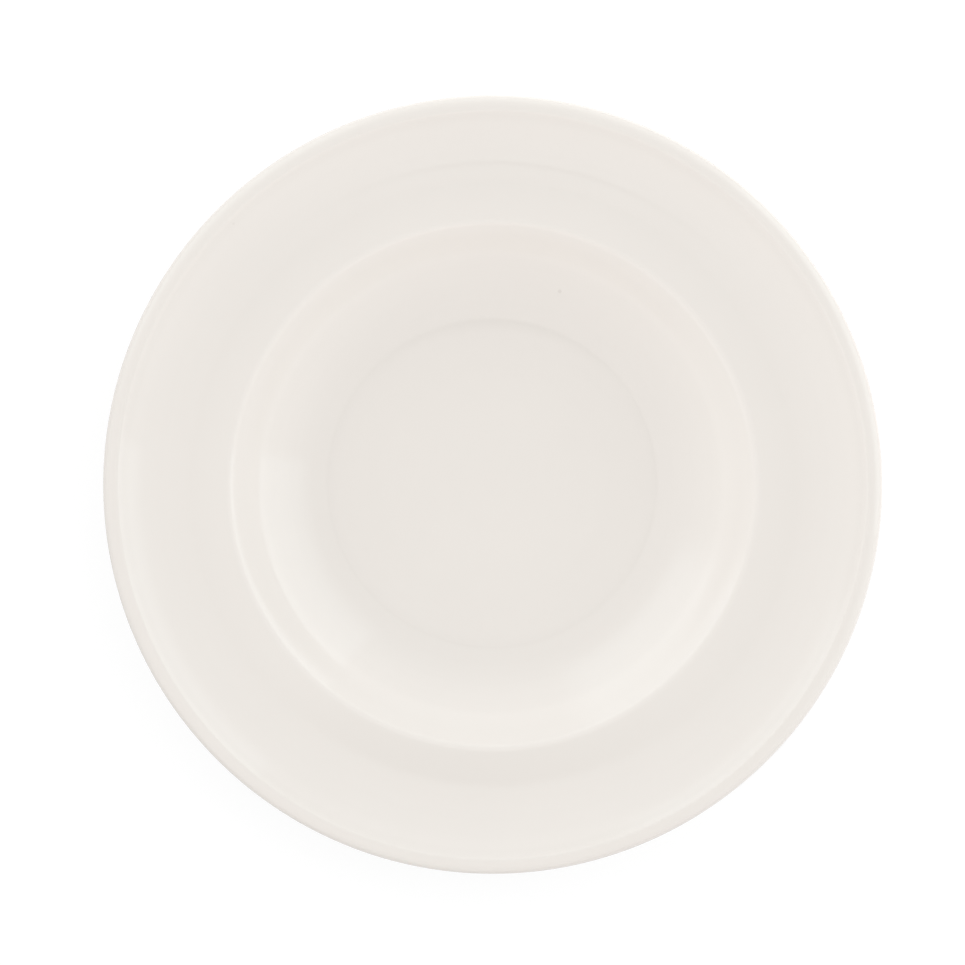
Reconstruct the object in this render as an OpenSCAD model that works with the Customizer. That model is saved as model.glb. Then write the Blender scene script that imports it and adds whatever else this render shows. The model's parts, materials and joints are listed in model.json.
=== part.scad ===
// Rimmed soup plate in glazed vitrified ware, drawn as one turned section.
// The clay body is the core. Three glaze coats lie on it and leave the foot's contact face bare.
// Millimetres, +Z up, with the origin at the centre of the foot's contact plane.

/* [Plate] */
// Diameter over the rolled edge, glaze included
plate_d = 240; // [220:1:280]
// Height of the rolled edge's top over the crest of the well
rim_lift = 6.3; // [6:0.1:7.5]

/* [Well] */
// Diameter at the crest, where the lines of wall and rim meet
well_d = 162.4; // [150:0.2:174]
// Depth of the well, from the crest down to the middle of its floor
well_depth = 20; // [16:0.5:24]
// Slope of the well's wall near the crest, in degrees
wall_slope = 45; // [42:1:52]
// Slope of the heel, where the wall starts at the floor's ring, in degrees
heel_slope = 16; // [12:1:20]
// Radius of the long sweep from the heel to the wall
heel_r = 44; // [25:1:50]
// Width that the heel takes off the floor, inwards from the foot of the wall
heel_w = 9.5; // [6:0.1:13]
// Radius of the crease at the floor's ring
ring_r = 6; // [4:1:20]
// Width of the shallow dish between the flat middle of the floor and the ring
dish_w = 5; // [4:0.5:20]
// Slope of the dish, in degrees
dish_slope = 4; // [1:0.5:6]
// Radius of the bend between the flat middle and the dish
dish_r = 20; // [10:1:60]
// Radius over the crest between the wall and the rim
crest_r = 2.25; // [1:0.25:5]

/* [Rim] */
// Fall of the inner rim, outwards from the crest, in degrees
rim_fall = 2.5; // [0:0.25:4]
// Slope at which the outer rim turns up, in degrees
rim_flare = 33; // [30:1:36]
// Where the inner rim ends and the outer one starts to rise, as a share of the way to the flare
inner_rim_share = 0.52; // [0.3:0.01:0.7]
// Radius of the crease at that place
break_r = 14; // [4:1:20]
// Slope at which the outer rim starts to rise, in degrees
rim_rise = 3.5; // [1:0.5:6]
// Radius of the cove between the rise and the flare
cove_r = 35; // [15:1:45]

/* [Rolled edge] */
// Radius of the rolled edge, glaze included
lip_r = 3.2; // [2.6:0.1:3.6]
// Slope of the underside of the rolled edge, inwards and down, in degrees
lip_tuck = 10; // [4:1:18]
// Radius of the small cove behind the rolled edge
lip_cove_r = 4; // [1:0.5:8]

/* [Body thickness] */
// Thickness of the clay body at the floor
base_t = 4.9; // [4:0.1:6]
// Thickness of the clay body at the wall
wall_t = 4.4; // [3.4:0.1:5.4]
// Thickness of the clay body at the rim
rim_t = 4.1; // [3.4:0.1:4.8]

/* [Back] */
// Radius under the crest, between the backs of rim and wall
crest_back_r = 8; // [4:0.5:14]
// Radius on the back of the cove, between the backs of flare and rim
cove_back_r = 38; // [20:1:50]
// Radius on the back of the heel, between the wall's back and the shoulder
heel_back_r = 36; // [15:1:45]
// Slope of the shoulder between the wall's back and the foot, in degrees
shoulder_slope = 18; // [12:1:24]

/* [Foot] */
// How far the foot ring's outer edge stands outside the floor's ring
foot_step = 2.3; // [2:0.1:4]
// Width of the foot ring at the table, over its rounded edges
foot_w = 3.6; // [3:0.1:5]
// Depth of the recess inside the foot ring
foot_recess = 2.8; // [2:0.1:4]
// Height of the foot ring's outer flank, up to the shoulder
foot_flank = 4.5; // [3.6:0.1:5.4]
// Draft of both flanks, in degrees
foot_draft = 12; // [4:1:20]
// Radius of the foot's two edges at the table
foot_edge_r = 0.8; // [0.4:0.1:1.2]
// Radius of the fillet where a flank meets the back
foot_root_r = 1.6; // [0.6:0.1:2]
// Height of the bare clay band on each flank, wiped clean before firing
bare_band = 1.1; // [1:0.1:1.5]

/* [Glaze] */
// Thickness on the floor and in the heel, where glaze gathers
glaze_floor_t = 0.35; // [0.25:0.01:0.5]
// Thickness on the crest, where glaze runs thin
glaze_crest_t = 0.24; // [0.2:0.01:0.35]
// Thickness in the rim's cove
glaze_cove_t = 0.32; // [0.25:0.01:0.5]
// Thickness round the rolled edge
glaze_lip_t = 0.24; // [0.2:0.01:0.35]
// Thickness on the back and in the recess
glaze_back_t = 0.28; // [0.22:0.01:0.4]
// Thickness of the glaze at its end, above the bare band
glaze_end_t = 0.16; // [0.1:0.01:0.22]

/* [Hidden] */
glaze_colour = [0.925, 0.905, 0.88];
back_glaze_colour = [0.915, 0.895, 0.868];
clay_colour = [0.86, 0.835, 0.795];
// Facets of a full turn
turn_facets = 180;
// Largest turn between two points of a round stretch, in degrees
arc_step = 3;
// Points nearer than this are one point
same_point = 0.001;

plate_r = plate_d / 2;
well_r = well_d / 2;
floor_z = foot_recess + base_t;
rim_z = floor_z + well_depth;
plate_h = rim_z + rim_lift;
clay_r = plate_r - glaze_lip_t;
clay_lip_r = lip_r - glaze_lip_t;
lip_centre = [plate_r - lip_r, plate_h - lip_r];

// A line is a point that it runs through and its direction of travel. The section is travelled
// clockwise, from the centre of the floor out over the face, round the edge and back underneath,
// so the body lies to the right of every line and the open air to its left.
function heading(a) = [cos(a), sin(a)];
function left_of(v) = [-v[1], v[0]];
function line(through, a) = [through, heading(a)];
function inside(l, depth) = [l[0] - depth * left_of(l[1]), l[1]];
function meet(l, m) = l[0] + l[1] * cross(m[0] - l[0], m[1]) / cross(l[1], m[1]);
// The line that touches the rolled edge of the clay while heading at angle a
function lip_tangent(a) = line(lip_centre + clay_lip_r * left_of(heading(a)), a);

floor_line = line([0, floor_z], 0);
wall_line = line([well_r, rim_z], wall_slope);
ring_x = meet(floor_line, wall_line)[0] - heel_w;
dish_line = line([ring_x - dish_w, floor_z], dish_slope);
heel_line = line(meet(dish_line, line([ring_x, 0], 90)), heel_slope);
rim_line = line([well_r, rim_z], -rim_fall);
flare_line = lip_tangent(rim_flare);
break_x = well_r + (meet(rim_line, flare_line)[0] - well_r) * inner_rim_share;
rise_line = line(meet(rim_line, line([break_x, 0], 90)), rim_rise);
foot_r = ring_x + foot_step;
edge_line = lip_tangent(-90);
tuck_line = lip_tangent(180 + lip_tuck);
flare_back = line(inside(flare_line, rim_t)[0], 180 + rim_flare);
rim_back = line(inside(rise_line, rim_t)[0], 180 - rim_fall);
wall_back = line(inside(wall_line, wall_t)[0], 180 + wall_slope);
foot_outer = line([foot_r, 0], -90 - foot_draft);
foot_base = line([foot_r, 0], 180);
foot_inner = line([foot_r - foot_w, 0], 90 + foot_draft);
recess_line = line([0, foot_recess], 180);
shoulder_line = line(meet(foot_outer, line([0, foot_flank], 0)), 180 + shoulder_slope);

// A corner is a point of the section, the radius that rounds it and the glaze that lies on it
function corner(p, round_r, glaze) = [p, round_r, glaze];
edge_middle = corner([clay_r, lip_centre[1]], 0, glaze_lip_t);
outer_glaze_end = corner(meet(foot_outer, line([0, bare_band], 0)), 0, glaze_end_t);
inner_glaze_end = corner(meet(foot_inner, line([0, bare_band], 0)), 0, glaze_end_t);

face_corners = [
    corner([0, floor_z], 0, glaze_floor_t),
    corner(meet(floor_line, dish_line), dish_r, glaze_floor_t),
    corner(meet(dish_line, heel_line), ring_r, glaze_floor_t),
    corner(meet(heel_line, wall_line), heel_r, glaze_floor_t),
    corner(meet(wall_line, rim_line), crest_r, glaze_crest_t),
    corner(meet(rim_line, rise_line), break_r, glaze_cove_t),
    corner(meet(rise_line, flare_line), cove_r, glaze_cove_t),
    corner(meet(flare_line, edge_line), clay_lip_r, glaze_lip_t),
    edge_middle
];
back_corners = [
    edge_middle,
    corner(meet(edge_line, tuck_line), clay_lip_r, glaze_lip_t),
    corner(meet(tuck_line, flare_back), lip_cove_r, glaze_back_t),
    corner(meet(flare_back, rim_back), cove_back_r, glaze_back_t),
    corner(meet(rim_back, wall_back), crest_back_r, glaze_back_t),
    corner(meet(wall_back, shoulder_line), heel_back_r, glaze_back_t),
    corner(meet(shoulder_line, foot_outer), foot_root_r, glaze_back_t),
    outer_glaze_end
];
foot_corners = [
    outer_glaze_end,
    corner(meet(foot_outer, foot_base), foot_edge_r, 0),
    corner(meet(foot_base, foot_inner), foot_edge_r, 0),
    inner_glaze_end
];
recess_corners = [
    inner_glaze_end,
    corner(meet(foot_inner, recess_line), foot_root_r, glaze_back_t),
    corner([0, foot_recess], 0, glaze_back_t)
];

// Direction of travel from corner i to the next one, and the signed turn at corner i
function leg(c, i) = c[i + 1][0] - c[i][0];
function travel(c, i) = leg(c, i) / norm(leg(c, i));
function turn(c, i) = atan2(cross(travel(c, i - 1), travel(c, i)), travel(c, i - 1) * travel(c, i));
// Length of a leg that the rounding of corner i takes, and the share of it that both its legs leave room for
function reach(c, i) = i == 0 || i == len(c) - 1 ? 0 : c[i][1] * tan(abs(turn(c, i)) / 2);
function room_share(c, i) = min(
    1,
    norm(leg(c, i - 1)) / (reach(c, i - 1) + reach(c, i)),
    norm(leg(c, i)) / (reach(c, i) + reach(c, i + 1))
);

// A point of a traced section is its place, the way out into the air, and the glaze on it
function rounded(c, i) = let(
        turned = turn(c, i),
        side = sign(turned),
        round_r = c[i][1] * room_share(c, i),
        way_out = left_of(travel(c, i - 1)),
        start = c[i][0] - travel(c, i - 1) * reach(c, i) * room_share(c, i),
        centre = start + side * round_r * way_out,
        steps = ceil(abs(turned) / arc_step)
    ) [
        for (k = [0 : steps])
        let(
            a = turned * k / steps,
            out = way_out * cos(a) + left_of(way_out) * sin(a)
        )
        [centre - side * round_r * out, out, c[i][2]]
    ];
function traced(c) = let(
        last = len(c) - 1,
        all_points = concat(
            [[c[0][0], left_of(travel(c, 0)), c[0][2]]],
            [for (i = [1 : last - 1]) each rounded(c, i)],
            [[c[last][0], left_of(travel(c, last - 1)), c[last][2]]]
        )
    ) [
        for (i = [0 : len(all_points) - 1])
        if (i == 0 || norm(all_points[i][0] - all_points[i - 1][0]) > same_point)
        all_points[i]
    ];

function clay_side(points) = [for (p = points) p[0]];
function air_side(points) = [for (p = points) p[0] + p[1] * p[2]];
function backwards(points) = [for (i = [len(points) - 1 : -1 : 0]) points[i]];
function coat(points) = concat(clay_side(points), backwards(air_side(points)));

face_points = traced(face_corners);
back_points = traced(back_corners);
foot_points = traced(foot_corners);
recess_points = traced(recess_corners);

// Turns a half section about the plate's axis
module turned_on_axis(outline) {
    rotate_extrude($fn = turn_facets) polygon(outline);
}

// The fired clay: rim, well and foot ring in one piece
module plate_body() {
    color(clay_colour)
        turned_on_axis(clay_side(concat(face_points, back_points, foot_points, recess_points)));
}

// The coat on the eating side, out to the middle of the rolled edge
module face_glaze() {
    color(glaze_colour) turned_on_axis(coat(face_points));
}

// The coat on the underside, from the middle of the rolled edge to the bare band of the foot
module back_glaze() {
    color(back_glaze_colour) turned_on_axis(coat(back_points));
}

// The coat in the recess that the foot ring closes in
module recess_glaze() {
    color(back_glaze_colour) turned_on_axis(coat(recess_points));
}

plate_body();
face_glaze();
back_glaze();
recess_glaze();
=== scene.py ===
# %% [markdown]
# # Glazing and lighting a soup plate
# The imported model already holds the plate's exact construction: the fired clay and the three coats
# of glaze on it. This lesson gives the coats their real surface, lights them as in a small white
# studio, and looks down on the plate. All sizes are in metres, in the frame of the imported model.

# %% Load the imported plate
import json
import math

import bpy
from mathutils import Matrix, Vector

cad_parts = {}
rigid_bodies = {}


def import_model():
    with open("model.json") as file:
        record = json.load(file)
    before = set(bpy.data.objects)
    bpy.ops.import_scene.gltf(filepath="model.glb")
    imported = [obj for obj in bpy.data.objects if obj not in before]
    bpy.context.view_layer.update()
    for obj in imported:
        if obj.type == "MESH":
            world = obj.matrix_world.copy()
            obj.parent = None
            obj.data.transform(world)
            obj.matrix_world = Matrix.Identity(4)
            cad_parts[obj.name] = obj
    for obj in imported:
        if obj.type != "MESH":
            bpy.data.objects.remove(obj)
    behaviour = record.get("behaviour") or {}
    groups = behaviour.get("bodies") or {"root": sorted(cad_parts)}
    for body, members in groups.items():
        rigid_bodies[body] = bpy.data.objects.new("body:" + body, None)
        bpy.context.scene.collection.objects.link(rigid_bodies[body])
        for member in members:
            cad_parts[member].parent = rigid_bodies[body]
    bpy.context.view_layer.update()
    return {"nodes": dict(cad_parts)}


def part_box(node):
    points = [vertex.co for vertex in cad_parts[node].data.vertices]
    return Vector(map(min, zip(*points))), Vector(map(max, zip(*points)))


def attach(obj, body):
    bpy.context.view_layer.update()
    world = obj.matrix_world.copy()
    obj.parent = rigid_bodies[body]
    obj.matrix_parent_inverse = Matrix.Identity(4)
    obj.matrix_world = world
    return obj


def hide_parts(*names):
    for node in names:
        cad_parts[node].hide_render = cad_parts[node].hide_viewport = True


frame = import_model()
MM = 0.001
MICRON = 1e-6
nodes = frame["nodes"]
print("nodes:", sorted(nodes))

# %% [markdown]
# ## Measures from the frame
# The coats, the clay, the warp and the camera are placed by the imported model, so a plate with
# another diameter or height is dressed by the same script. The highest and widest points belong to
# the rolled edge, and the coat of the back reaches up to that edge's middle.

# %% Measure the plate
face_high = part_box("face_glaze")[1]
back_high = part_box("back_glaze")[1]
plate_r = face_high.x
plate_top = face_high.z
edge_z = back_high.z
plate_centre = Vector((0, 0, edge_z))
print(f"plate radius {plate_r:.4f}, top {plate_top:.4f}, middle of the rolled edge {edge_z:.4f}")

# %% [markdown]
# ## Camera
# The photo looks almost straight down through a long lens. Lower rings of the plate lie a little
# up and to the left of the outline, so the camera stands slightly behind and left of the centre.
# The width of the square picture and the outline's centre and radius in it, all in pixels, give the
# aim and the focal length.

# %% Place the camera
PICTURE_W = 965
OUTLINE_X = 493.0
OUTLINE_Y = 486.0
OUTLINE_R = 389.6
CAMERA_DISTANCE = 1.25
LEAN_BACK = math.radians(2.3)
LEAN_LEFT = math.radians(0.6)
SENSOR_MM = 36.0


def place_camera():
    metres_per_pixel = plate_r / OUTLINE_R
    aim = plate_centre + metres_per_pixel * Vector((PICTURE_W / 2 - OUTLINE_X, OUTLINE_Y - PICTURE_W / 2, 0))
    lean = Vector((-math.tan(LEAN_LEFT), math.tan(LEAN_BACK), 1)).normalized()
    data = bpy.data.cameras.new("camera")
    data.sensor_width = SENSOR_MM
    data.lens = SENSOR_MM * CAMERA_DISTANCE / (metres_per_pixel * PICTURE_W)
    camera = bpy.data.objects.new("camera", data)
    bpy.context.scene.collection.objects.link(camera)
    camera.location = plate_centre + lean * CAMERA_DISTANCE
    back = (camera.location - aim).normalized()
    right = Vector((0, 1, 0)).cross(back).normalized()
    camera.rotation_euler = Matrix((right, back.cross(right), back)).transposed().to_euler()
    bpy.context.scene.camera = camera
    return camera


camera = place_camera()
print(f"camera at {tuple(round(v, 4) for v in camera.location)}, lens {camera.data.lens:.1f} mm")

# %% [markdown]
# ## Reading the section
# The plate is turned, so each node is fully described by the half section that was spun. Every
# vertex of a spun part gives one point of that section: its distance from the axis and its height.
# Points of a coat that the clay shares lie under the glaze. The rest are its outer surface. A flat
# disc has no vertex at its middle, so the point on the axis is added. The lists run outwards.

# %% Find the section of each coat
SAME_POINT = 0.02 * MM
SHARED_WITHIN = 3 * SAME_POINT


def section_points(node):
    found = []
    for vertex in nodes[node].data.vertices:
        point = (math.hypot(vertex.co.x, vertex.co.y), vertex.co.z)
        key = (round(point[0] / SAME_POINT), round(point[1] / SAME_POINT))
        found.append((key, point))
    return [point for key, point in dict(found).items()]


def distance(p, q):
    return math.hypot(p[0] - q[0], p[1] - q[1])


def apart(points, others):
    return [p for p in points if min(distance(p, q) for q in others) > SHARED_WITHIN]


def inner_and_outer(node):
    points = section_points(node)
    outer = sorted(apart(points, clay_points))
    inner = sorted(apart(points, outer))
    return inner, outer


def from_axis(points):
    return [(0.0, points[0][1])] + points


clay_points = section_points("plate_body")
face_inner, face_outer = inner_and_outer("face_glaze")
back_inner, back_outer = inner_and_outer("back_glaze")
recess_inner, recess_outer = inner_and_outer("recess_glaze")
foot_clay = sorted(apart(clay_points, face_inner + back_inner + recess_inner))
face_inner, face_outer = from_axis(face_inner), from_axis(face_outer)
recess_inner, recess_outer = from_axis(recess_inner), from_axis(recess_outer)
for name, inner, outer in (
    ("face", face_inner, face_outer),
    ("back", back_inner, back_outer),
    ("recess", recess_inner, recess_outer),
):
    print(f"{name}: {len(inner)} points on the clay, {len(outer)} on the glaze,",
          f"r {outer[0][0]:.4f} to {outer[-1][0]:.4f}")

# %% [markdown]
# ## Fairing
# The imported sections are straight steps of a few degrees. Fired glaze has no such steps: it flowed
# while it was molten and drew every bend smooth. So the steps are replaced by one curve through
# the same points, and a short running average, weighted by a bell curve, then does what the melt did.

# %% Draw one smooth curve through a section
FINE_STEP = 0.15 * MM
FLOW = 0.45 * MM
FLOW_REACH = 3
# A step this many times longer than its neighbour is a straight run, which keeps its own direction
STRAIGHT = 2.2


def unit(p, q):
    length = distance(p, q)
    return ((q[0] - p[0]) / length, (q[1] - p[1]) / length)


def direction_at(points, i):
    before = unit(points[i - 1], points[i]) if i > 0 else None
    after = unit(points[i], points[i + 1]) if i < len(points) - 1 else None
    if before is None or after is None:
        return before or after
    length_before = distance(points[i - 1], points[i])
    length_after = distance(points[i], points[i + 1])
    if length_before > STRAIGHT * length_after:
        return before
    if length_after > STRAIGHT * length_before:
        return after
    mixed = [b * length_after + a * length_before for b, a in zip(before, after)]
    size = math.hypot(*mixed)
    return (mixed[0] / size, mixed[1] / size)


# Each stretch is a cubic that leaves p in the direction u and reaches q in the direction v
def curve_through(points):
    ways = [direction_at(points, i) for i in range(len(points))]
    curve = [points[0]]
    for (p, q), (u, v) in zip(zip(points, points[1:]), zip(ways, ways[1:])):
        length = distance(p, q)
        steps = max(1, math.ceil(length / FINE_STEP))
        for k in range(1, steps + 1):
            t = k / steps
            at_p = 2 * t**3 - 3 * t**2 + 1
            along_u = (t**3 - 2 * t**2 + t) * length
            at_q = -2 * t**3 + 3 * t**2
            along_v = (t**3 - t**2) * length
            curve.append(tuple(at_p * p[j] + along_u * u[j] + at_q * q[j] + along_v * v[j] for j in (0, 1)))
    return curve


def flowed(curve):
    width = round(FLOW / FINE_STEP)
    reach = FLOW_REACH * width
    weights = [math.exp(-0.5 * (k / width) ** 2) for k in range(-reach, reach + 1)]
    soft = []
    for i in range(len(curve)):
        span = min(i, len(curve) - 1 - i, reach)
        near = range(-span, span + 1)
        total = sum(weights[k + reach] for k in near)
        soft.append(tuple(sum(weights[k + reach] * curve[i + k][j] for k in near) / total for j in (0, 1)))
    return soft


# The face and the back meet at the middle of the rolled edge, so they are faired as one curve.
around = flowed(curve_through(face_outer + back_outer[-2::-1]))
recess = flowed(curve_through(recess_outer[::-1]))
clay = curve_through(face_inner + back_inner[-2::-1] + foot_clay[::-1] + recess_inner[::-1])
print(f"outer curve of {len(around)} points, recess of {len(recess)}, clay of {len(clay)}")

# %% [markdown]
# ## The rolled edge
# In the photo the edge turns over a little nearer the centre than a round edge would. Its crown is
# moved there in the clay and in the coats alike, while the outermost point stays where it is.

# %% Move the edge's crown inwards
CROWN_MOVES = 0.8 * MM
EDGE_FROM = plate_r - 6.4 * MM


def leaned(curve):
    moved = []
    for r, z in curve:
        share = max(0.0, (r - EDGE_FROM) / (plate_r - EDGE_FROM))
        moved.append((r - CROWN_MOVES * math.sin(math.pi * share) ** 2, z))
    return moved


around, clay = leaned(around), leaned(clay)
face_inner, back_inner = leaned(face_inner), leaned(back_inner)
crown = max((point for point in around if point[0] > EDGE_FROM), key=lambda point: point[1])
print(f"the edge's crown lies {(plate_r - crown[0]) / MM:.2f} mm inside the outline")

# %% [markdown]
# ## Spacing the points
# A tight bend such as the rolled edge needs many points and the flat floor few. Each point is set
# so that the curve turns by no more than a few degrees and runs on by no more than a fixed length.
# The clay needs fewer than what is seen, and the hidden side of a coat needs the fewest.

# %% Keep only the points that the shape needs
SHOWN_STEP, SHOWN_TURN = 1.2 * MM, math.radians(3)
CLAY_STEP, CLAY_TURN = 2 * MM, math.radians(4)
HIDDEN_STEP, HIDDEN_TURN = 8 * MM, math.radians(8)


def turn_at(curve, i):
    before = unit(curve[i - 1], curve[i])
    after = unit(curve[i], curve[i + 1])
    across = before[0] * after[1] - before[1] * after[0]
    along = before[0] * after[0] + before[1] * after[1]
    return abs(math.atan2(across, along))


def spaced(curve, longest, largest_turn):
    kept = [curve[0]]
    need = 0.0
    for i in range(1, len(curve) - 1):
        need += max(distance(curve[i - 1], curve[i]) / longest, turn_at(curve, i) / largest_turn)
        if need >= 1:
            kept.append(curve[i])
            need = 0.0
    kept.append(curve[-1])
    return kept


around = spaced(around, SHOWN_STEP, SHOWN_TURN)
recess = spaced(recess, SHOWN_STEP, SHOWN_TURN)
clay = spaced(clay, CLAY_STEP, CLAY_TURN)
print(f"kept {len(around)} points round face and back, {len(recess)} in the recess, {len(clay)} on the clay")

# %% [markdown]
# ## Marks of the making
# A plate like this is pressed by a turning roller head, which leaves rings that can hardly be felt
# but that bend a reflection. In the kiln the rim also moves a little. The rings are a few thousandths
# of a millimetre high here and the warp a few hundredths. The glaze carries the rings alone, and the
# warp moves coats and clay alike, so the coats still cover the clay.

# %% Add the turning rings and describe the kiln's warp
# Wavelength, height and start of each set of rings
RINGS = ((8.3 * MM, 0.003 * MM, 5.0), (13.0 * MM, 0.0045 * MM, 1.2))
RINGS_START = 10 * MM
WARP = 0.05 * MM
WARP_FROM = plate_r / 2
# Waves round the rim, share of the warp and start of each part of it
WARP_PARTS = ((2, 1.0, 0.7), (3, 0.45, 2.2))


def ring_height(r):
    rise = sum(height * math.sin(2 * math.pi * r / wave + start) for wave, height, start in RINGS)
    return rise * min(1, r / RINGS_START)


def with_rings(curve):
    marked = [curve[0]]
    for before, here, after in zip(curve, curve[1:], curve[2:]):
        way = unit(before, after)
        rise = ring_height(here[0])
        marked.append((here[0] - way[1] * rise, here[1] + way[0] * rise))
    marked.append(curve[-1])
    return marked


def warp(r, turn):
    share = max(0, (r - WARP_FROM) / (plate_r - WARP_FROM)) ** 2
    return WARP * share * sum(size * math.cos(waves * turn + start) for waves, size, start in WARP_PARTS)


around = with_rings(around)
print(f"ring height halfway out {ring_height(plate_r / 2) / MICRON:.1f} micrometres")

# %% [markdown]
# ## The way out at each point
# Blender works out smooth shading from the faces round a vertex. Where one coat ends against the
# next, that would bend the shading and draw a line round the rim. So each point of a section also
# gets its own direction out of the surface, taken from the whole curve before it is cut in two.

# %% Give each point its way out
def with_way_out(curve):
    led = []
    for i, (r, z) in enumerate(curve):
        way = unit(curve[max(0, i - 1)], curve[min(len(curve) - 1, i + 1)])
        out = (0.0, math.copysign(1, way[0])) if r < SAME_POINT else (-way[1], way[0])
        led.append((r, z, *out))
    return led


around = with_way_out(around)
widest = max(range(len(around)), key=lambda i: around[i][0])
face_shown, back_shown = around[:widest + 1], around[widest:]
recess_shown = with_way_out(recess)
clay_shown = with_way_out(clay)
print(f"the coats part at r {around[widest][0]:.4f}, z {around[widest][1]:.4f}")

# %% [markdown]
# ## Turning a section into a piece
# Spinning a closed outline gives a mesh of even quads, and a point on the axis becomes one vertex.
# Each point also stores how much glaze lies there, because a glaze looks deeper where it is
# thicker, and the finish reads it. The stored amount also carries painted shade and painted light.

# %% Spin an outline
TURN_STEPS = 240
GLAZE_AND_SHADE = "glaze_and_painted_shade_mm"


def spin(name, outline, depths_and_shade):
    verts, ways_out, stored, rings = [], [], [], []
    # The stored amount is the glaze depth with painted shade and painted light added to it
    for (r, z, out_r, out_z), depth in zip(outline, depths_and_shade):
        steps = 1 if r < SAME_POINT else TURN_STEPS
        rings.append(range(len(verts), len(verts) + steps))
        for k in range(steps):
            turn = 2 * math.pi * k / TURN_STEPS
            verts.append((r * math.cos(turn), r * math.sin(turn), z + warp(r, turn)))
            ways_out.append((out_r * math.cos(turn), out_r * math.sin(turn), out_z))
            stored.append(depth / MM)
    faces = []
    for a, b in zip(rings, rings[1:] + rings[:1]):
        for k in range(TURN_STEPS):
            n = (k + 1) % TURN_STEPS
            corners = [a[k % len(a)], b[k % len(b)], b[n % len(b)], a[n % len(a)]]
            distinct = [v for i, v in enumerate(corners) if v not in corners[:i]]
            if len(distinct) > 2:
                faces.append(distinct)
    mesh = bpy.data.meshes.new(name)
    mesh.from_pydata(verts, [], faces)
    mesh.attributes.new(GLAZE_AND_SHADE, "FLOAT", "POINT").data.foreach_set("value", stored)
    mesh.polygons.foreach_set("use_smooth", [True] * len(mesh.polygons))
    mesh.normals_split_custom_set_from_vertices(ways_out)
    mesh.update()
    piece = bpy.data.objects.new(name, mesh)
    bpy.context.scene.collection.objects.link(piece)
    return piece


# %% [markdown]
# A coat is its outer curve and the clay side below it. Where it stops on the bare foot, surface
# tension rounds its end, so the outline gets a small arc there. At the rim it meets the next coat
# and is cut straight. The amount that is stored for the tone isn't the imported thickness alone.
# It counts the bend of the outline, since molten glaze runs off ridges and into hollows, and the
# same count also paints shade into the creases and light onto the crests. Ring by ring it also
# adds an amount that is painted shade above zero and painted light below it. These amounts were
# chosen until the rings of the plate were as light as in the photo.

# %% Close the outline of a coat
END_STEPS = 6
# How much a bend adds in a hollow and takes off on a ridge: partly glaze that collected there, partly
# painted shade in creases and painted light on crests
HOLLOW_GATHERS_AND_SHADES = 0.0004 * MM
# Shares of the plate's radius, each with the millimetres added to the stored glaze there: painted shade
# above zero, painted light below
PAINTED_LIGHT_AND_SHADE_AT_SHARES = (
    (0.0, 0.05), (0.15, 0.03), (0.30, 0.0), (0.39, -0.09), (0.50, 0.0), (0.585, 0.0), (0.60, -0.08),
    (0.615, -0.06), (0.64, 0.04), (0.655, 0.06), (0.665, 0.11), (0.675, 0.18), (0.685, 0.22),
    (0.70, 0.19), (0.77, 0.14), (0.87, 0.02), (0.93, 0.06), (0.965, 0.23), (1.01, 0.21),
)


def thickness_at(point, inner):
    best = plate_r
    for p, q in zip(inner, inner[1:]):
        run = (q[0] - p[0], q[1] - p[1])
        t = ((point[0] - p[0]) * run[0] + (point[1] - p[1]) * run[1]) / (run[0] ** 2 + run[1] ** 2)
        t = min(1, max(0, t))
        best = min(best, distance(point, (p[0] + t * run[0], p[1] + t * run[1])))
    return best


def rounded_end(outer_end, inner_end):
    middle = [(o + i) / 2 for o, i in zip(outer_end[:2], inner_end[:2])]
    across = [o - m for o, m in zip(outer_end[:2], middle)]
    reach = math.hypot(*across)
    onward = (outer_end[3], -outer_end[2])
    arc = []
    for k in range(1, END_STEPS):
        a = math.pi * k / END_STEPS
        out = [across[j] / reach * math.cos(a) + onward[j] * math.sin(a) for j in (0, 1)]
        arc.append((middle[0] + reach * out[0], middle[1] + reach * out[1], *out))
    return arc


def hollow_at(outline, i):
    before = outline[max(0, i - 1)]
    after = outline[min(len(outline) - 1, i + 1)]
    turned = math.atan2(before[2], before[3]) - math.atan2(after[2], after[3])
    return turned / max(distance(before, after), MM)


def painted_light_and_shade_at(r):
    share = r / plate_r
    for (start, low), (end, high) in zip(PAINTED_LIGHT_AND_SHADE_AT_SHARES, PAINTED_LIGHT_AND_SHADE_AT_SHARES[1:]):
        if share <= end:
            return (low + (high - low) * (share - start) / (end - start)) * MM
    return PAINTED_LIGHT_AND_SHADE_AT_SHARES[-1][1] * MM


def coat(name, outer, inner, node, open_ends):
    under = with_way_out(spaced(inner, HIDDEN_STEP, HIDDEN_TURN))
    under = [(r, z, -out_r, -out_z) for r, z, out_r, out_z in under]
    outline = list(outer)
    if "last" in open_ends:
        outline += rounded_end(outer[-1], under[-1])
    outline += under[::-1]
    if "first" in open_ends:
        mirrored = (outer[0][0], outer[0][1], -outer[0][2], -outer[0][3])
        outline += rounded_end(under[0], mirrored)
    depths_and_shade = [thickness_at(p, inner) for p in outline]
    for i in range(len(outer)):
        # The bend adds collected glaze with painted shade in creases and painted light on crests, and each
        # ring adds its painted shade and light
        gathered_and_shaded = HOLLOW_GATHERS_AND_SHADES * hollow_at(outer, i) + painted_light_and_shade_at(outer[i][0])
        depths_and_shade[i] = max(0.0, depths_and_shade[i] + gathered_and_shaded)
    piece = spin(name, outline, depths_and_shade)
    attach(piece, "root")
    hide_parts(node)
    shown = depths_and_shade[1:len(outer) - 1]
    print(f"{name}: {len(piece.data.polygons)} faces,",
          f"glaze counts as {min(shown) / MM:.2f} to {max(shown) / MM:.2f} mm")
    return piece


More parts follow.
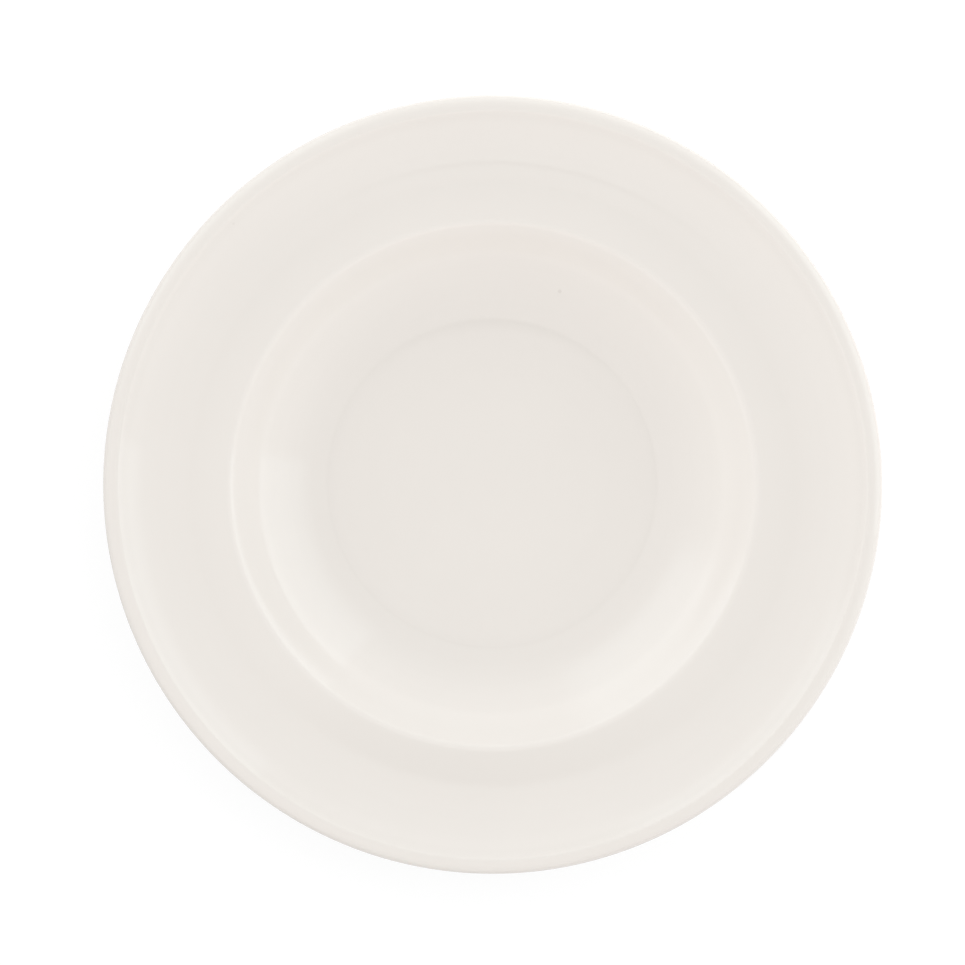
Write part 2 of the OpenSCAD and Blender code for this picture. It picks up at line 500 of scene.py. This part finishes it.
face_coat = coat("face_glaze_coat", face_shown, face_inner, "face_glaze", ())
back_coat = coat("back_glaze_coat", back_shown, back_inner[::-1], "back_glaze", ("last",))
recess_coat = coat("recess_glaze_coat", recess_shown, recess_inner[::-1], "recess_glaze", ("first",))

# %% [markdown]
# ## The clay
# Under the coats lies the fired clay. It only shows where the foot was wiped clean, but a cut or
# chipped plate would show it everywhere, so it is one whole piece. It is spun like the coats.

# %% Make the clay body
clay_body = spin("clay_body", clay_shown, [0.0] * len(clay_shown))
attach(clay_body, "root")
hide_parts("plate_body")
print(f"clay_body: {len(clay_body.data.polygons)} faces")

# %% [markdown]
# ## Node helpers
# Small effects that more than one finish uses are made once, as shader node groups with named
# sockets, and each material sets its own values on them. These helpers keep the recipes short: what
# another node puts out is wired in, and a plain number is set on the socket.

# %% Helpers for node trees
# Places of the colour sockets on a Mix node, which also has some for numbers and vectors
MIX_FIRST, MIX_SECOND, MIX_RESULT = 6, 7, 2


def feed(tree, value, socket):
    if isinstance(value, bpy.types.NodeSocket):
        tree.links.new(value, socket)
    else:
        socket.default_value = value


def calc(tree, operation, *values):
    node = tree.nodes.new("ShaderNodeMath")
    node.operation = operation
    for socket, value in zip(node.inputs, values):
        feed(tree, value, socket)
    return node.outputs["Value"]


def ramp(tree, value, start, end, low=0.0, high=1.0, kind="SMOOTHSTEP"):
    node = tree.nodes.new("ShaderNodeMapRange")
    node.interpolation_type = kind
    given = {"Value": value, "From Min": start, "From Max": end, "To Min": low, "To Max": high}
    for label, number in given.items():
        feed(tree, number, node.inputs[label])
    return node.outputs["Result"]


def blended(tree, share, first, second):
    node = tree.nodes.new("ShaderNodeMix")
    node.data_type = "RGBA"
    feed(tree, share, node.inputs["Factor"])
    feed(tree, first, node.inputs[MIX_FIRST])
    feed(tree, second, node.inputs[MIX_SECOND])
    return node.outputs[MIX_RESULT]


def calc_vectors(tree, operation, *vectors):
    node = tree.nodes.new("ShaderNodeVectorMath")
    node.operation = operation
    for socket, vector in zip(node.inputs, vectors):
        feed(tree, vector, socket)
    return node.outputs


def scaled(tree, vector, factor):
    node = tree.nodes.new("ShaderNodeVectorMath")
    node.operation = "SCALE"
    feed(tree, vector, node.inputs["Vector"])
    feed(tree, factor, node.inputs["Scale"])
    return node.outputs["Vector"]


def surface_place(tree):
    return tree.nodes.new("ShaderNodeTexCoord").outputs["Object"]


def place_from_above(tree):
    return calc_vectors(tree, "MULTIPLY", surface_place(tree), (1, 1, 0))["Vector"]


def noise(tree, scale, detail):
    node = tree.nodes.new("ShaderNodeTexNoise")
    feed(tree, surface_place(tree), node.inputs["Vector"])
    feed(tree, scale, node.inputs["Scale"])
    feed(tree, detail, node.inputs["Detail"])
    return node.outputs["Fac"]


def node_group(name, inputs, outputs):
    tree = bpy.data.node_groups.new(name, "ShaderNodeTree")
    for way, sockets in (("INPUT", inputs), ("OUTPUT", outputs)):
        for label, kind in sockets:
            tree.interface.new_socket(label, in_out=way, socket_type="NodeSocket" + kind)
    given = tree.nodes.new("NodeGroupInput").outputs
    result = tree.nodes.new("NodeGroupOutput").inputs
    return tree, given, result


def place_group(tree, group, values):
    node = tree.nodes.new("ShaderNodeGroup")
    node.node_tree = group
    for label, value in values.items():
        feed(tree, value, node.inputs[label])
    return node.outputs


# %% [markdown]
# ## Glaze tone
# This glaze is a warm white that hides the clay. Where it lies thin it is a touch lighter, and
# where it lies thick, as where it collected, it is a touch deeper. Melting also leaves faint clouds
# in it. The amount comes from the mesh, and it holds painted shade and painted light too, so the
# same mix paints them.

# %% Build the tone group
THIN_GLAZE, THICK_GLAZE = 0.20, 0.50
CLOUD_DETAIL = 3.0
NOISE_MIDDLE = 0.5


def build_glaze_tone():
    tree, given, result = node_group(
        "glaze_tone",
        [("Deep And Shaded Colour", "Color"), ("Thin And Lit Colour", "Color"), ("Clouds Per Metre", "Float"),
         ("Cloud Strength", "Float")],
        [("Colour", "Color")],
    )
    # The amount read here holds painted shade and painted light as well as the glaze depth, so this mix
    # paints them too
    depth = tree.nodes.new("ShaderNodeAttribute")
    depth.attribute_name = GLAZE_AND_SHADE
    gathered_and_shaded = ramp(tree, depth.outputs["Fac"], THIN_GLAZE, THICK_GLAZE, kind="LINEAR")
    toned = blended(tree, gathered_and_shaded, given["Thin And Lit Colour"], given["Deep And Shaded Colour"])
    cloud = calc(tree, "SUBTRACT", noise(tree, given["Clouds Per Metre"], CLOUD_DETAIL), NOISE_MIDDLE)
    shade = calc(tree, "MULTIPLY_ADD", cloud, given["Cloud Strength"], 1.0)
    feed(tree, scaled(tree, toned, shade), result["Colour"])
    return tree


glaze_tone = build_glaze_tone()
print("group:", glaze_tone.name)

# %% [markdown]
# ## Specks
# Every white glaze holds a few dark specks of iron from the clay and a few pinholes where a bubble
# broke. A cell pattern places them: each cell has one centre, a random value decides whether that
# centre is a speck at all, and the distance from it draws a small round spot. A second random value
# makes some spots larger than others. Their size is a share of the cell's width.

# %% Build the group for scattered specks
SMALLEST_SPECK = 0.4
SCATTERED_CORE = 0.5


def build_scattered_specks():
    tree, given, result = node_group(
        "scattered_specks",
        [("Cells Per Metre", "Float"), ("Share", "Float"), ("Size", "Float")],
        [("Mask", "Float")],
    )
    cells = tree.nodes.new("ShaderNodeTexVoronoi")
    feed(tree, surface_place(tree), cells.inputs["Vector"])
    feed(tree, given["Cells Per Metre"], cells.inputs["Scale"])
    draws = tree.nodes.new("ShaderNodeSeparateColor")
    feed(tree, cells.outputs["Color"], draws.inputs["Color"])
    picked = calc(tree, "LESS_THAN", draws.outputs["Red"], given["Share"])
    radius = calc(tree, "MULTIPLY", given["Size"], calc(tree, "ADD", draws.outputs["Green"], SMALLEST_SPECK))
    core = calc(tree, "MULTIPLY", radius, SCATTERED_CORE)
    spot = ramp(tree, cells.outputs["Distance"], core, radius, 1.0, 0.0)
    feed(tree, calc(tree, "MULTIPLY", spot, picked), result["Mask"])
    return tree


scattered_specks = build_scattered_specks()
print("group:", scattered_specks.name)

# %% [markdown]
# The photo shows two specks on the face, so these are set one by one. A single spot is the distance
# from one place on the plate, seen from above.

# %% Build the group for one speck
SINGLE_CORE = 0.4


def build_single_speck():
    tree, given, result = node_group(
        "single_speck", [("Place", "Vector"), ("Radius", "Float")], [("Mask", "Float")]
    )
    away = calc_vectors(tree, "DISTANCE", place_from_above(tree), given["Place"])["Value"]
    core = calc(tree, "MULTIPLY", given["Radius"], SINGLE_CORE)
    feed(tree, ramp(tree, away, core, given["Radius"], 1.0, 0.0), result["Mask"])
    return tree


single_speck = build_single_speck()
print("group:", single_speck.name)

# %% [markdown]
# ## Relief
# A glaze is never quite level. It keeps a faint waviness like the peel of an orange, and the
# turning rings of the clay show through it. Both are a few thousandths of a millimetre high on the
# glaze and a few hundredths on bare clay, so a Bump node does them: no outline could ever show them,
# but the edge of a reflection does. The heights are in thousandths of a millimetre.

# %% Build the relief group
FINE_RINGS_PER_METRE = 330.0
PEEL_DETAIL = 1.0


def build_relief():
    tree, given, result = node_group(
        "turned_relief",
        [("Peel Per Metre", "Float"), ("Peel Height", "Float"), ("Ring Height", "Float")],
        [("Height", "Float")],
    )
    rings = tree.nodes.new("ShaderNodeTexNoise")
    rings.noise_dimensions = "1D"
    feed(tree, calc_vectors(tree, "LENGTH", place_from_above(tree))["Value"], rings.inputs["W"])
    feed(tree, FINE_RINGS_PER_METRE, rings.inputs["Scale"])
    turned = calc(tree, "MULTIPLY", rings.outputs["Fac"], given["Ring Height"])
    peel = calc(tree, "MULTIPLY", noise(tree, given["Peel Per Metre"], PEEL_DETAIL), given["Peel Height"])
    feed(tree, calc(tree, "ADD", turned, peel), result["Height"])
    return tree


turned_relief = build_relief()
print("group:", turned_relief.name)

# %% [markdown]
# ## The glaze
# A fired glaze is glass over a white ground: a Principled BSDF with a pale base colour, hardly any
# roughness and the index of refraction of glass. Its colour comes from the tone group with the
# specks laid over it, and its normal from the relief. The back is the same glaze with more specks,
# since a potter sorts plates by their faces.

# %% Make the glaze
# Through the stored amount, the deep colour also paints shade and the thin colour also paints light
GLAZE_DEEP_AND_SHADED = (0.768, 0.721, 0.676, 1)
GLAZE_THIN_AND_LIT = (0.818, 0.771, 0.726, 1)
IRON = (0.22, 0.15, 0.10, 1)
PINHOLE = (0.60, 0.55, 0.48, 1)
CLOUDS = {"Clouds Per Metre": 28.0, "Cloud Strength": 0.02}
PINHOLES = {"Cells Per Metre": 75.0, "Size": 0.018}
IRON_SPOTS = {"Cells Per Metre": 52.0, "Size": 0.012}
SCATTERED_SHOW = 0.35
# Place, radius and strength of the two specks on the face
FACE_SPECKS = (
    ((21.0 * MM, 60.0 * MM, 0), 0.8 * MM, 0.12),
    ((-79.6 * MM, 80.6 * MM, 0), 0.5 * MM, 0.07),
)
GLAZE_ROUGHNESS, GLAZE_IOR = 0.05, 1.5
GLAZE_RELIEF = {"Peel Per Metre": 260.0, "Peel Height": 3.0, "Ring Height": 3.0}


def new_material(name):
    material = bpy.data.materials.new(name)
    material.use_nodes = True
    tree = material.node_tree
    return material, tree, tree.nodes["Principled BSDF"]


def add_relief(tree, shader, values):
    relief = place_group(tree, turned_relief, values)
    bump = tree.nodes.new("ShaderNodeBump")
    feed(tree, MICRON, bump.inputs["Distance"])
    feed(tree, relief["Height"], bump.inputs["Height"])
    feed(tree, bump.outputs["Normal"], shader.inputs["Normal"])


def laid_over(tree, colour, mask, strength, spot_colour):
    return blended(tree, calc(tree, "MULTIPLY", mask, strength), colour, spot_colour)


def glaze_material(name, iron_share, pinhole_share, known_specks):
    material, tree, shader = new_material(name)
    tone = {"Deep And Shaded Colour": GLAZE_DEEP_AND_SHADED, "Thin And Lit Colour": GLAZE_THIN_AND_LIT, **CLOUDS}
    colour = place_group(tree, glaze_tone, tone)["Colour"]
    pinholes = place_group(tree, scattered_specks, {"Share": pinhole_share, **PINHOLES})
    colour = laid_over(tree, colour, pinholes["Mask"], SCATTERED_SHOW, PINHOLE)
    iron = place_group(tree, scattered_specks, {"Share": iron_share, **IRON_SPOTS})
    colour = laid_over(tree, colour, iron["Mask"], SCATTERED_SHOW, IRON)
    for place, radius, strength in known_specks:
        spot = place_group(tree, single_speck, {"Place": place, "Radius": radius})
        colour = laid_over(tree, colour, spot["Mask"], strength, IRON)
    feed(tree, colour, shader.inputs["Base Color"])
    feed(tree, GLAZE_ROUGHNESS, shader.inputs["Roughness"])
    feed(tree, GLAZE_IOR, shader.inputs["IOR"])
    add_relief(tree, shader, GLAZE_RELIEF)
    return material


face_glaze = glaze_material(
    "glaze_on_the_face", iron_share=0.012, pinhole_share=0.03, known_specks=FACE_SPECKS
)
back_glaze = glaze_material("glaze_on_the_back", iron_share=0.03, pinhole_share=0.06, known_specks=())
for piece, material, slot in (
    (face_coat, face_glaze, "face_glaze"),
    (back_coat, back_glaze, "back_glaze"),
    (recess_coat, back_glaze, "back_glaze"),
):
    piece.data.materials.append(material)
print("glazed:", face_coat.name, back_coat.name, recess_coat.name)

# %% [markdown]
# ## The bare foot
# Where the glaze was wiped off, the clay shows fine-grained and matt, a little darker than the
# glaze. It was ground level after firing, so its contact face carries fine rings, and sliding over
# tables has rubbed some grey into its lowest part.

# %% Make the fired clay
CLAY_PALE = (0.66, 0.61, 0.53, 1)
CLAY_DEEP = (0.57, 0.51, 0.43, 1)
RUBBED = (0.42, 0.39, 0.35, 1)
RUBBED_UP_TO = 0.5 * MM
RUBBED_SHOWS = 0.5
# Each pattern's features per metre and its detail
GRAIN, PATCHES, RUBBED_SPOTS = (2600.0, 3.0), (90.0, 3.0), (160.0, 4.0)
GRAIN_FROM, GRAIN_TO = 0.35, 0.65
SPOTS_FROM, SPOTS_TO = 0.4, 0.7
GRIT = {"Cells Per Metre": 900.0, "Share": 0.05, "Size": 0.3}
CLAY_SMOOTHEST, CLAY_ROUGHEST = 0.72, 0.86
CLAY_RELIEF = {"Peel Per Metre": 3000.0, "Peel Height": 25.0, "Ring Height": 25.0}


def clay_material():
    material, tree, shader = new_material("fired_clay")
    grain = ramp(tree, noise(tree, *GRAIN), GRAIN_FROM, GRAIN_TO)
    colour = blended(tree, calc(tree, "MULTIPLY", grain, noise(tree, *PATCHES)), CLAY_PALE, CLAY_DEEP)
    height = tree.nodes.new("ShaderNodeSeparateXYZ")
    feed(tree, surface_place(tree), height.inputs["Vector"])
    low = ramp(tree, height.outputs["Z"], 0.0, RUBBED_UP_TO, 1.0, 0.0)
    worn = calc(tree, "MULTIPLY", low, ramp(tree, noise(tree, *RUBBED_SPOTS), SPOTS_FROM, SPOTS_TO))
    colour = laid_over(tree, colour, worn, RUBBED_SHOWS, RUBBED)
    colour = blended(tree, place_group(tree, scattered_specks, GRIT)["Mask"], colour, IRON)
    feed(tree, colour, shader.inputs["Base Color"])
    feed(tree, ramp(tree, grain, 0.0, 1.0, CLAY_SMOOTHEST, CLAY_ROUGHEST), shader.inputs["Roughness"])
    add_relief(tree, shader, CLAY_RELIEF)
    return material


fired_clay = clay_material()
clay_body.data.materials.append(fired_clay)
print("bare:", clay_body.name)

# %% [markdown]
# ## Table
# The plate stands on a plain white table. Seen by the camera or in a reflection, the table is
# mostly its own even light, with a little true shading that keeps the plate's shadow. The light
# that it throws up at the plate is its own glow and is uneven: painted light on its far right
# side, where the soft boxes are, fading to a painted shadow of the plate on the near left. From
# below it can be seen through, so that the plate's back can be looked at.

# %% Make the table
TABLE_SIZE = 12.0
TABLE_GLOW, TABLE_SHADED = 0.74, 0.30
# The table's glow for diffuse light: painted light on its far right side, fading to a painted shadow of the
# plate on the near left
LIT_SIDE = math.radians(58)
LIT_REACH = 0.22
LIT_LOW, LIT_HIGH = 0.0, 1.65


def emission(tree, strength):
    node = tree.nodes.new("ShaderNodeEmission")
    feed(tree, strength, node.inputs["Strength"])
    return node.outputs["Emission"]


def diffuse(tree, shade):
    node = tree.nodes.new("ShaderNodeBsdfDiffuse")
    feed(tree, (shade, shade, shade, 1), node.inputs["Color"])
    return node.outputs["BSDF"]


def seen_directly(tree):
    path = tree.nodes.new("ShaderNodeLightPath").outputs
    seen = calc(tree, "MAXIMUM", path["Is Camera Ray"], path["Is Glossy Ray"])
    return calc(tree, "MAXIMUM", seen, path["Is Transmission Ray"])


def chosen(tree, share, first, second):
    node = tree.nodes.new("ShaderNodeMixShader")
    for socket, value in zip(node.inputs, (share, first, second)):
        feed(tree, value, socket)
    return node.outputs["Shader"]


def painted_lit_side(tree):
    way = (math.cos(LIT_SIDE), math.sin(LIT_SIDE), 0)
    along = calc_vectors(tree, "DOT_PRODUCT", surface_place(tree), way)["Value"]
    return ramp(tree, along, -LIT_REACH, LIT_REACH, LIT_LOW, LIT_HIGH)


def table_material():
    material, tree, shader = new_material("white_table")
    tree.nodes.remove(shader)
    bright = tree.nodes.new("ShaderNodeAddShader")
    feed(tree, emission(tree, TABLE_GLOW), bright.inputs[0])
    feed(tree, diffuse(tree, TABLE_SHADED), bright.inputs[1])
    surface = chosen(tree, seen_directly(tree), emission(tree, painted_lit_side(tree)), bright.outputs["Shader"])
    below = tree.nodes.new("ShaderNodeNewGeometry").outputs["Backfacing"]
    clear = tree.nodes.new("ShaderNodeBsdfTransparent").outputs["BSDF"]
    surface = chosen(tree, below, surface, clear)
    feed(tree, surface, tree.nodes["Material Output"].inputs["Surface"])
    return material


def make_table():
    half = TABLE_SIZE / 2
    mesh = bpy.data.meshes.new("table")
    corners = [(-half, -half, 0), (half, -half, 0), (half, half, 0), (-half, half, 0)]
    mesh.from_pydata(corners, [], [(0, 1, 2, 3)])
    mesh.materials.append(table_material())
    table = bpy.data.objects.new("table", mesh)
    bpy.context.scene.collection.objects.link(table)
    return table


table = make_table()
print("table:", table.name)

# %% [markdown]
# ## Studio light
# The photo was taken in a white studio: pale walls all round, a dimmer ceiling, and two tall soft
# boxes, one on the right and one at the back left. They are a little cooler than the walls, their
# lower edges are sharp in the glaze and their tops fade out. Along the horizon the studio is darker,
# most of all at the back, and so is the bar that holds the camera just on the near side of straight
# above. Nothing of this stands close to the plate, so all of it is drawn in the world, by direction.
# The camera itself sees plain white.

# %% Describe the studio
WALLS = 1.33
CEILING = 0.65
CEILING_TO_THE_RIGHT, CEILING_TO_THE_BACK = -0.29, -0.37
CEILING_STARTS, CEILING_ALONE = 25.0, 71.0
# Where each soft box is, how wide and high it is and how softly it ends, in degrees, and its strength
BOXES = (
    {"middle": 19.5, "half": 29.0, "soft": 3.0, "top": 38.8, "fade": 18.0, "glow": 0.64},
    {"middle": 137.5, "half": 25.5, "soft": 14.0, "top": 37.9, "fade": 10.0, "glow": 0.68},
)
BOX_BOTTOM, BOX_BOTTOM_SOFT = 6.3, 0.4
BOX_TINT = (0.84, 1.0, 1.05)
SKIRT_TOP, SKIRT_SOFT = 5.9, 0.8
SKIRT_BACK, SKIRT_NEAR = 0.50, 0.15
SKIRT_BACK_FROM, SKIRT_NEAR_UP_TO = 0.9, -0.3
BAR_OFF_ZENITH, BAR_HALF_LONG, BAR_HALF_WIDE, BAR_FADES_OVER = 0.175, 0.082, 0.029, 2.2
OVERHEAD = 0.5

# %% [markdown]
# The helpers below turn a direction into a mask: a box is bounded by its angle to the left and
# right of its middle and by its height over the horizon. Angles are in degrees. The bar and the
# depth of the dark band go by the parts of the direction itself, which are 1 at the most.

# %% Light the studio
def soft_edge(tree, value, at, soft, low=0.0, high=1.0):
    return ramp(tree, value, at - soft / 2, at + soft / 2, low, high)


def light_left(tree, mask, depth):
    return calc(tree, "MULTIPLY_ADD", calc(tree, "MULTIPLY", mask, depth), -1.0, 1.0)


def box_glow(tree, box, x, y, elevation):
    turn = math.radians(box["middle"])
    ahead = calc(tree, "MULTIPLY_ADD", x, math.cos(turn), calc(tree, "MULTIPLY", y, math.sin(turn)))
    aside = calc(tree, "MULTIPLY_ADD", y, math.cos(turn), calc(tree, "MULTIPLY", x, -math.sin(turn)))
    angle = calc(tree, "ABSOLUTE", calc(tree, "DEGREES", calc(tree, "ARCTAN2", aside, ahead)))
    wide = soft_edge(tree, angle, box["half"], box["soft"], box["glow"], 0.0)
    high = ramp(tree, elevation, box["top"], box["top"] + box["fade"], 1.0, 0.0)
    low = soft_edge(tree, elevation, BOX_BOTTOM, BOX_BOTTOM_SOFT)
    return calc(tree, "MULTIPLY", calc(tree, "MULTIPLY", wide, high), low)


def wall_light(tree, x, y, elevation):
    ceiling = calc(tree, "MULTIPLY_ADD", x, CEILING_TO_THE_RIGHT, CEILING)
    ceiling = calc(tree, "MULTIPLY_ADD", y, CEILING_TO_THE_BACK, ceiling)
    share = ramp(tree, elevation, CEILING_STARTS, CEILING_ALONE)
    down = calc(tree, "SUBTRACT", ceiling, WALLS)
    return calc(tree, "MULTIPLY_ADD", share, down, WALLS)


def skirt_shade(tree, y, elevation):
    low = soft_edge(tree, elevation, SKIRT_TOP, SKIRT_SOFT, 1.0, 0.0)
    depth = ramp(tree, y, SKIRT_NEAR_UP_TO, SKIRT_BACK_FROM, SKIRT_NEAR, SKIRT_BACK)
    return light_left(tree, low, depth)


def bar_shade(tree, x, y, z):
    along = calc(tree, "DIVIDE", x, BAR_HALF_LONG)
    across = calc(tree, "DIVIDE", calc(tree, "ADD", y, BAR_OFF_ZENITH), BAR_HALF_WIDE)
    squared = calc(tree, "ADD", calc(tree, "MULTIPLY", along, along), calc(tree, "MULTIPLY", across, across))
    bar = ramp(tree, calc(tree, "SQRT", squared), 0.0, BAR_FADES_OVER, 1.0, 0.0)
    return light_left(tree, bar, calc(tree, "GREATER_THAN", z, OVERHEAD))


def light_studio():
    world = bpy.data.worlds.new("white_studio")
    world.use_nodes = True
    tree = world.node_tree
    bpy.context.scene.world = world
    direction = tree.nodes.new("ShaderNodeSeparateXYZ")
    feed(tree, tree.nodes.new("ShaderNodeTexCoord").outputs["Generated"], direction.inputs["Vector"])
    x, y, z = direction.outputs
    elevation = calc(tree, "DEGREES", calc(tree, "ARCSINE", z))
    glows = [box_glow(tree, box, x, y, elevation) for box in BOXES]
    boxes = scaled(tree, BOX_TINT, calc(tree, "ADD", *glows))
    light = calc_vectors(tree, "ADD", wall_light(tree, x, y, elevation), boxes)["Vector"]
    shade = calc(tree, "MULTIPLY", skirt_shade(tree, y, elevation), bar_shade(tree, x, y, z))
    direct = tree.nodes.new("ShaderNodeLightPath").outputs["Is Camera Ray"]
    seen = blended(tree, direct, scaled(tree, light, shade), (1, 1, 1, 1))
    background = tree.nodes["Background"].inputs
    feed(tree, seen, background["Color"])
    feed(tree, 1.0, background["Strength"])
    return world


studio = light_studio()
bpy.context.scene.view_settings.view_transform = "Standard"
print("world:", studio.name)
